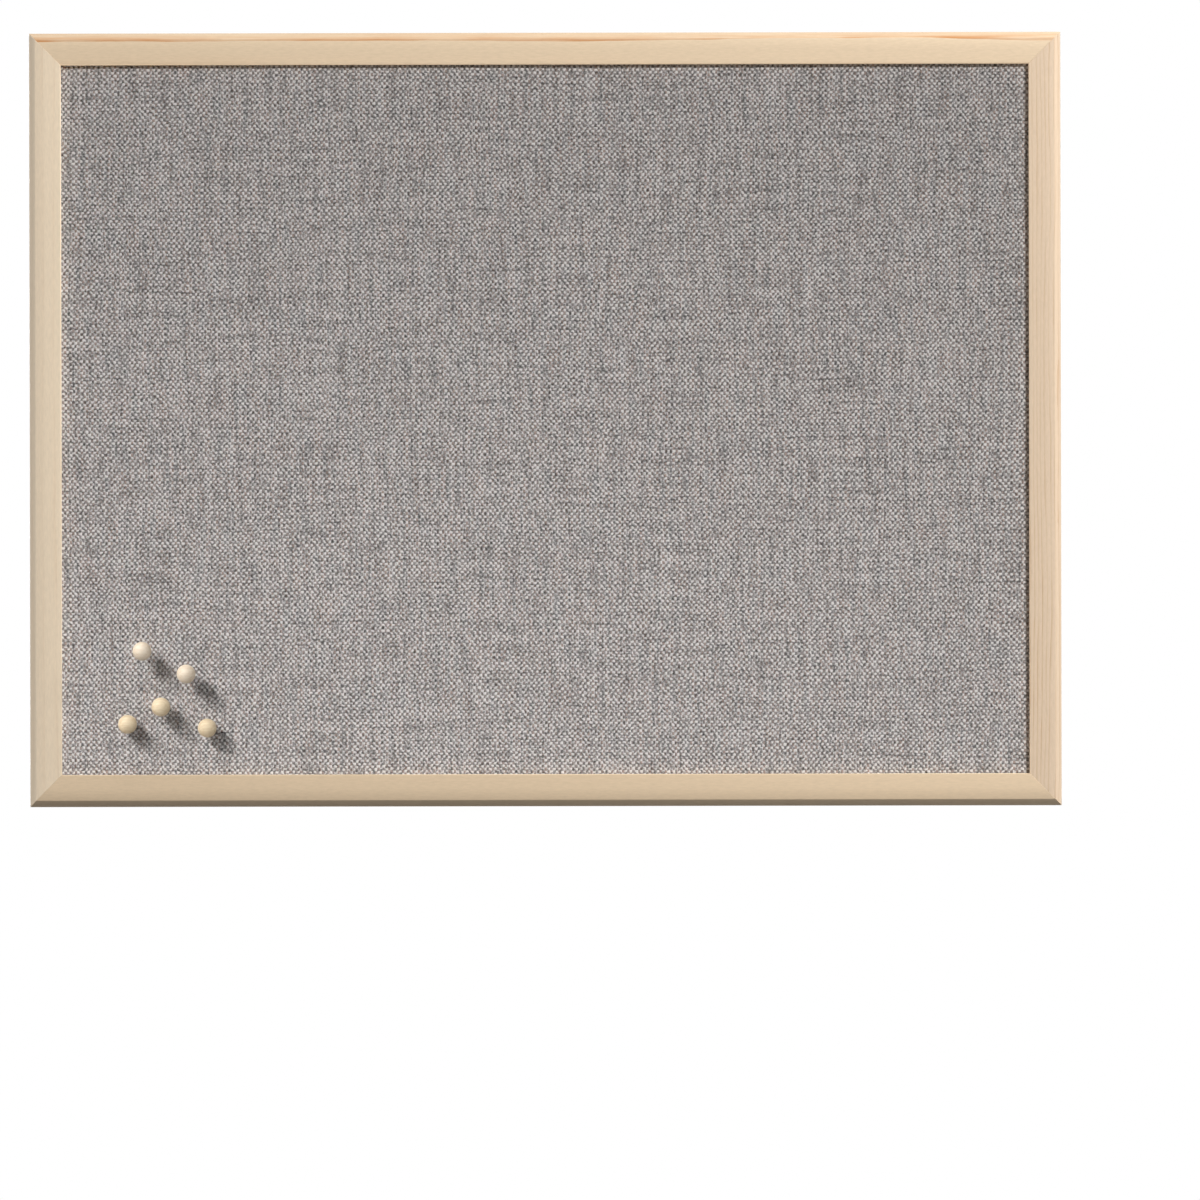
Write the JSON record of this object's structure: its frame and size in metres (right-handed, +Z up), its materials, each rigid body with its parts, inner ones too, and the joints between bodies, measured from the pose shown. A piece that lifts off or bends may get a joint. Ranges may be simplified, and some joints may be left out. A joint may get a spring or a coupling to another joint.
{
  "type": "fabric notice board",
  "caption": "Wall-hung notice board: grey woven cloth stretched over softboard in a mitred pale wood frame, with ball-headed push pins and hanging rings on the back",
  "frame": {"origin": "on the wall plane, behind the middle of the board's outline", "axes": "+X to the right along the board's width as seen from the front, +Z up, and the board faces -Y, so +Y points into the wall"},
  "size_m": [0.6, 0.0365, 0.45],
  "materials": {
    "pine": "planed and sanded, clear matt",
    "cloth": "melange plain weave",
    "softboard": "pressed wood fibre",
    "hardboard": "smooth brown hardboard",
    "zinc": "bright zinc plate",
    "nickel": "nickel-plated wire",
    "dark_steel": "oiled dark spring steel",
    "bumper_rubber": "matt black",
    "ball_wood": "turned and tumbled, clear satin",
    "needle_steel": "bright drawn steel"
  },
  "bodies": {
    "board": {"top_rail": "pine", "bottom_rail": "pine", "left_stile": "pine", "right_stile": "pine", "corner_nail_top_left_1": "dark_steel", "corner_nail_top_left_2": "dark_steel", "corner_nail_top_right_1": "dark_steel", "corner_nail_top_right_2": "dark_steel", "corner_nail_bottom_left_1": "dark_steel", "corner_nail_bottom_left_2": "dark_steel", "corner_nail_bottom_right_1": "dark_steel", "corner_nail_bottom_right_2": "dark_steel", "framer_point_top_1": "dark_steel", "framer_point_top_2": "dark_steel", "framer_point_top_3": "dark_steel", "framer_point_bottom_1": "dark_steel", "framer_point_bottom_2": "dark_steel", "framer_point_bottom_3": "dark_steel", "framer_point_left_1": "dark_steel", "framer_point_left_2": "dark_steel", "framer_point_right_1": "dark_steel", "framer_point_right_2": "dark_steel", "fabric_cover": "cloth", "pinning_core": "softboard", "backing_board": "hardboard", "hanger_strap_left": "zinc", "hanger_strap_right": "zinc", "hanger_screw_left_upper": "zinc", "hanger_screw_left_lower": "zinc", "hanger_screw_right_upper": "zinc", "hanger_screw_right_lower": "zinc", "bumper_left": "bumper_rubber", "bumper_right": "bumper_rubber"},
    "ring_left": {"hanger_ring_left": "nickel"},
    "ring_right": {"hanger_ring_right": "nickel"},
    "pin_1": {"pin_ball_1": "ball_wood", "pin_needle_1": "needle_steel"},
    "pin_2": {"pin_ball_2": "ball_wood", "pin_needle_2": "needle_steel"},
    "pin_3": {"pin_ball_3": "ball_wood", "pin_needle_3": "needle_steel"},
    "pin_4": {"pin_ball_4": "ball_wood", "pin_needle_4": "needle_steel"},
    "pin_5": {"pin_ball_5": "ball_wood", "pin_needle_5": "needle_steel"}
  },
  "joints": [
    {"name": "ring_left_swing", "type": "hinge", "parent": "board", "child": "ring_left", "pos_m": [-0.2938, -0.0019, 0.126], "axis": [-1, 0, 0], "range_deg": [0, 175]},
    {"name": "ring_right_swing", "type": "hinge", "parent": "board", "child": "ring_right", "pos_m": [0.2938, -0.0019, 0.126], "axis": [-1, 0, 0], "range_deg": [0, 175]},
    {"name": "pin_1_push", "type": "slide", "parent": "board", "child": "pin_1", "axis": [0, -1, 0], "range_m": [-0.0055, 0.0034]},
    {"name": "pin_2_push", "type": "slide", "parent": "board", "child": "pin_2", "axis": [0, -1, 0], "range_m": [-0.0052, 0.0037]},
    {"name": "pin_3_push", "type": "slide", "parent": "board", "child": "pin_3", "axis": [0, -1, 0], "range_m": [-0.0029, 0.006]},
    {"name": "pin_4_push", "type": "slide", "parent": "board", "child": "pin_4", "axis": [0, -1, 0], "range_m": [-0.0006, 0.0083]},
    {"name": "pin_5_push", "type": "slide", "parent": "board", "child": "pin_5", "axis": [0, -1, 0], "range_m": [-0.0008, 0.0081]}
  ]
}
